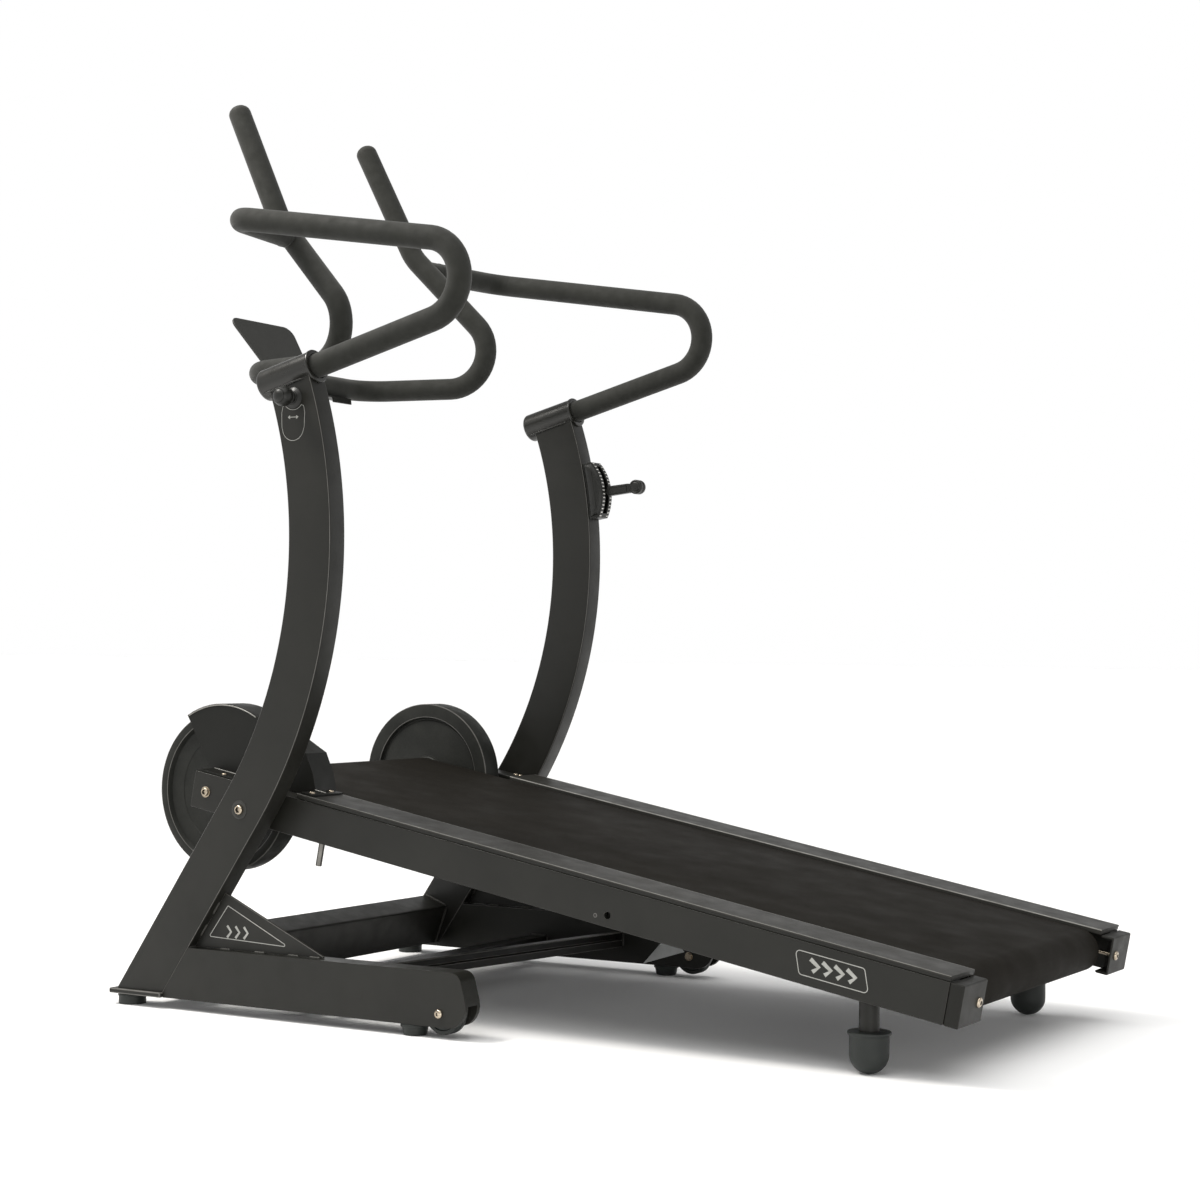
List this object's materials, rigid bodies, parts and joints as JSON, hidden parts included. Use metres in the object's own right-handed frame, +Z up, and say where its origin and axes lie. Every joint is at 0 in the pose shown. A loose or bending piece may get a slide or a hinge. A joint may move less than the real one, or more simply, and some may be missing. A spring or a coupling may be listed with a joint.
{
  "type": "manual treadmill",
  "caption": "Folding manual treadmill: sloping belt deck between curved uprights, open flywheels, side and centre handlebars, resistance lever.",
  "frame": {"origin": "on the floor under the middle of the machine's bounding box", "axes": "+Z up, +Y towards the flywheels and the console, +X to the walking user's right, so the lock knob is at -X and the resistance lever at +X"},
  "size_m": [0.8845, 1.5186, 1.5353],
  "materials": {
    "black_coat": "satin black powder coat with a fine orange peel",
    "foam_grip": "matt black closed-cell foam tube",
    "black_plastic": "fine-textured black moulding",
    "rubber": "matt black moulded rubber",
    "nickel_steel": "warm nickel-plated steel",
    "chrome": "bright chrome plate",
    "cast_iron": "black enamel over cast iron",
    "belt": "matt black belt with a fine cross texture",
    "foot_strip": "dark grey fine-textured side strips",
    "board": "dark phenolic-faced board"
  },
  "bodies": {
    "frame": {"console_bracket": "black_coat", "console_plate": "black_plastic", "diagonal_brace": "black_coat", "dial_housing": "black_plastic", "front_crossbar": "black_coat", "inner_handlebar": "foam_grip", "knob_boss": "nickel_steel", "left_base_rail": "black_coat", "left_front_foot": "rubber", "left_gusset": "black_coat", "left_outer_handlebar": "foam_grip", "left_pivot_bolt": "nickel_steel", "left_rear_foot": "rubber", "left_sleeve": "black_coat", "left_toe_plate": "black_coat", "left_upright": "black_coat", "left_wheel_bolt": "nickel_steel", "lever_pin": "nickel_steel", "middle_crossbar": "black_coat", "right_base_rail": "black_coat", "right_front_foot": "rubber", "right_gusset": "black_coat", "right_outer_handlebar": "foam_grip", "right_pivot_bolt": "nickel_steel", "right_rear_foot": "rubber", "right_sleeve": "black_coat", "right_toe_plate": "black_coat", "right_upright": "black_coat", "right_wheel_bolt": "nickel_steel"},
    "deck": {"deck_board": "board", "front_cross_member": "black_coat", "rear_cross_member": "black_coat", "running_belt": "belt", "flywheel_guard": "black_coat", "front_axle": "nickel_steel", "rear_axle": "nickel_steel", "stop_pin": "chrome", "left_deck_rail": "black_coat", "left_foot_strip": "foot_strip", "left_end_cap": "black_plastic", "left_tension_bolt": "nickel_steel", "left_axle_bolt": "nickel_steel", "left_leg_stem": "black_coat", "left_ball_foot": "rubber", "right_deck_rail": "black_coat", "right_foot_strip": "foot_strip", "right_end_cap": "black_plastic", "right_tension_bolt": "nickel_steel", "right_axle_bolt": "nickel_steel", "right_leg_stem": "black_coat", "right_ball_foot": "rubber"},
    "front_drum": {"front_roller": "chrome", "left_flywheel": "cast_iron", "right_flywheel": "cast_iron"},
    "rear_drum": {"rear_roller": "chrome"},
    "left_wheel": {"left_transport_wheel": "rubber"},
    "right_wheel": {"right_transport_wheel": "rubber"},
    "lock_knob": {"lock_knob": "black_plastic"},
    "resistance_lever": {"resistance_lever": "black_plastic", "lever_knob": "black_plastic"}
  },
  "joints": [
    {"name": "deck_fold", "type": "hinge", "parent": "frame", "child": "deck", "pos_m": [0.0175, 0.4505, 0.3295], "axis": [-1, 0, 0], "range_deg": [0, 92.8]},
    {"name": "front_drum_spin", "type": "hinge", "parent": "deck", "child": "front_drum", "pos_m": [0.0175, 0.56777, 0.35087], "axis": [1, 0, 0], "continuous": true},
    {"name": "rear_drum_spin", "type": "hinge", "parent": "deck", "child": "rear_drum", "pos_m": [0.0175, -0.70378, 0.11911], "axis": [1, 0, 0], "continuous": true},
    {"name": "left_wheel_spin", "type": "hinge", "parent": "frame", "child": "left_wheel", "pos_m": [-0.3795, 0.0613, 0.0385], "axis": [1, 0, 0], "continuous": true},
    {"name": "right_wheel_spin", "type": "hinge", "parent": "frame", "child": "right_wheel", "pos_m": [0.4145, 0.0613, 0.0385], "axis": [1, 0, 0], "continuous": true},
    {"name": "lock_knob_slide", "type": "slide", "parent": "frame", "child": "lock_knob", "axis": [-1, 0, 0], "range_m": [-0.009, 0]},
    {"name": "lever_swing", "type": "hinge", "parent": "frame", "child": "resistance_lever", "pos_m": [0.4145, 0.3445, 0.8745], "axis": [-1, 0, 0], "range_deg": [-21, 27]}
  ],
  "couplings": [
    {"joint": "rear_drum_spin", "follows": "front_drum_spin", "ratio": 1}
  ]
}
